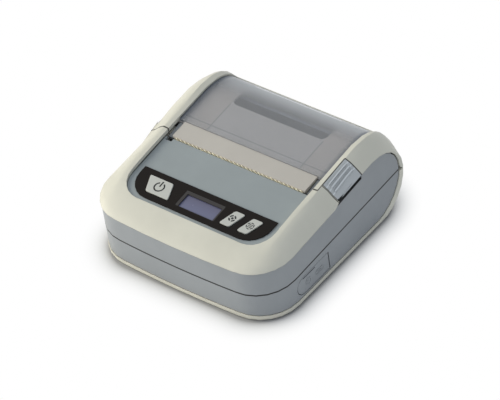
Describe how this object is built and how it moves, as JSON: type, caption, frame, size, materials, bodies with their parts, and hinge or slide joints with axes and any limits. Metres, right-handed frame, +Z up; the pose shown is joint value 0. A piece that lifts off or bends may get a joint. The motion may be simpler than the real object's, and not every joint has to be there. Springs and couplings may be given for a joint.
{
  "type": "label printer",
  "caption": "Portable label printer: rounded two-tone case, keypad panel with display, windowed paper cover on a rear hinge, tear bar and side latch.",
  "frame": {"origin": "on the table under the middle of the printer, halfway across its width and depth", "axes": "+X to the printer's right seen from the front, +Y to the rear, +Z up"},
  "size_m": [0.119, 0.119, 0.0505],
  "materials": {
    "cream_shell": "fine satin moulded ABS",
    "grey_shell": "fine matt moulded ABS",
    "panel_grey": "fine matt moulded ABS",
    "black_film": "glossy printed film",
    "key_white": "satin moulded keys",
    "display": "unlit liquid crystal behind clear plastic",
    "smoke": "smoked clear plastic",
    "beige_bar": "satin moulded plastic",
    "bright_steel": "bright steel",
    "frame_steel": "zinc-plated sheet",
    "roller_rubber": "smooth silicone rubber",
    "foot_rubber": "matt rubber",
    "nylon": "natural nylon",
    "ceramic": "glazed ceramic",
    "heat_sink": "plain extruded aluminium",
    "circuit_board": "solder-masked board",
    "dark_plastic": "matt moulded plastic",
    "battery_wrap": "shrink-wrapped cells"
  },
  "bodies": {
    "body": {"base_cover": "cream_shell", "front_bezel": "cream_shell", "lower_housing": "grey_shell", "upper_housing": "grey_shell", "front_panel": "panel_grey", "panel_overlay": "black_film", "display_glass": "display", "display_holder": "dark_plastic", "feed_motor": "frame_steel", "print_frame": "frame_steel", "head_spring_left": "bright_steel", "head_spring_right": "bright_steel", "tear_bar": "bright_steel", "main_board": "circuit_board", "power_switch": "dark_plastic", "settings_switch": "dark_plastic", "feed_switch": "dark_plastic", "battery_pack": "battery_wrap", "usb_socket": "bright_steel", "power_jack": "dark_plastic", "port_board": "circuit_board", "latch_spring": "bright_steel", "paper_bay": "grey_shell", "hinge_pin_left": "bright_steel", "hinge_pin_right": "bright_steel", "rubber_foot_1": "foot_rubber", "base_screw_1": "bright_steel", "rubber_foot_2": "foot_rubber", "base_screw_2": "bright_steel", "rubber_foot_3": "foot_rubber", "base_screw_3": "bright_steel", "rubber_foot_4": "foot_rubber", "base_screw_4": "bright_steel"},
    "cover": {"cover_frame": "cream_shell", "cover_window": "smoke", "cover_inner_frame": "grey_shell", "cover_bar": "beige_bar", "platen_bush_left": "nylon", "platen_bush_right": "nylon"},
    "platen": {"platen_roller": "roller_rubber", "platen_shaft": "bright_steel", "platen_gear": "nylon"},
    "idler": {"idler_gear": "nylon"},
    "pinion": {"motor_pinion": "bright_steel"},
    "head": {"print_head": "ceramic", "head_heat_sink": "heat_sink"},
    "latch": {"latch_button": "grey_shell"},
    "power_key": {"power_button": "key_white"},
    "settings_key": {"settings_button": "key_white"},
    "feed_key": {"feed_button": "key_white"},
    "port_flap": {"port_cover": "grey_shell"},
    "battery_flap": {"battery_door": "cream_shell"},
    "guide_left": {"paper_guide_left": "dark_plastic", "guide_rack_left": "dark_plastic"},
    "guide_right": {"paper_guide_right": "dark_plastic", "guide_rack_right": "dark_plastic"},
    "guide_gear": {"guide_pinion": "nylon"}
  },
  "joints": [
    {"name": "cover_hinge", "type": "hinge", "parent": "body", "child": "cover", "pos_m": [0, 0.0568, 0.025], "axis": [-1, 0, 0], "range_deg": [0, 90]},
    {"name": "platen_spin", "type": "hinge", "parent": "cover", "child": "platen", "pos_m": [0, 0.0031, 0.0362], "axis": [1, 0, 0], "continuous": true},
    {"name": "idler_spin", "type": "hinge", "parent": "body", "child": "idler", "pos_m": [-0.0483, -0.00285, 0.02081], "axis": [1, 0, 0], "continuous": true},
    {"name": "motor_spin", "type": "hinge", "parent": "body", "child": "pinion", "pos_m": [-0.0483, -0.01497, 0.0138], "axis": [1, 0, 0], "continuous": true},
    {"name": "head_tilt", "type": "hinge", "parent": "body", "child": "head", "pos_m": [0, -0.0056, 0.0302], "axis": [1, 0, 0], "range_deg": [0, 1.5], "stiffness_Nm_per_rad": 2, "springref_deg": -8.59},
    {"name": "latch_slide", "type": "slide", "parent": "body", "child": "latch", "axis": [0, 0, -1], "range_m": [0, 0.0015], "stiffness_N_per_m": 500, "springref_m": -0.0015, "deforming": ["latch_spring"]},
    {"name": "power_key_press", "type": "slide", "parent": "body", "child": "power_key", "axis": [0, 0.1275, -0.9918], "range_m": [0, 0.0006], "stiffness_N_per_m": 900, "springref_m": -0.0006},
    {"name": "settings_key_press", "type": "slide", "parent": "body", "child": "settings_key", "axis": [0, 0.1275, -0.9918], "range_m": [0, 0.0006], "stiffness_N_per_m": 900, "springref_m": -0.0006},
    {"name": "feed_key_press", "type": "slide", "parent": "body", "child": "feed_key", "axis": [0, 0.1275, -0.9918], "range_m": [0, 0.0006], "stiffness_N_per_m": 900, "springref_m": -0.0006},
    {"name": "port_flap_hinge", "type": "hinge", "parent": "body", "child": "port_flap", "pos_m": [0.05835, -0.01015, 0.0101], "axis": [0, 0, 1], "range_deg": [0, 100]},
    {"name": "battery_flap_hinge", "type": "hinge", "parent": "body", "child": "battery_flap", "pos_m": [0.008, -0.0493, 0.0012], "axis": [-1, 0, 0], "range_deg": [0, 60]},
    {"name": "guide_left_slide", "type": "slide", "parent": "body", "child": "guide_left", "axis": [1, 0, 0], "range_m": [0, 0.025]},
    {"name": "guide_right_slide", "type": "slide", "parent": "body", "child": "guide_right", "axis": [-1, 0, 0], "range_m": [0, 0.025]},
    {"name": "guide_gear_spin", "type": "hinge", "parent": "body", "child": "guide_gear", "pos_m": [0, 0.0044, 0.0126], "axis": [0, 1, 0], "range_deg": [0, 480]}
  ],
  "couplings": [
    {"joint": "idler_spin", "follows": "platen_spin", "ratio": -0.5},
    {"joint": "motor_spin", "follows": "platen_spin", "ratio": 1.8333},
    {"joint": "guide_right_slide", "follows": "guide_left_slide", "ratio": 1},
    {"joint": "guide_gear_spin", "follows": "guide_left_slide", "rad_per_m": 333.33}
  ]
}
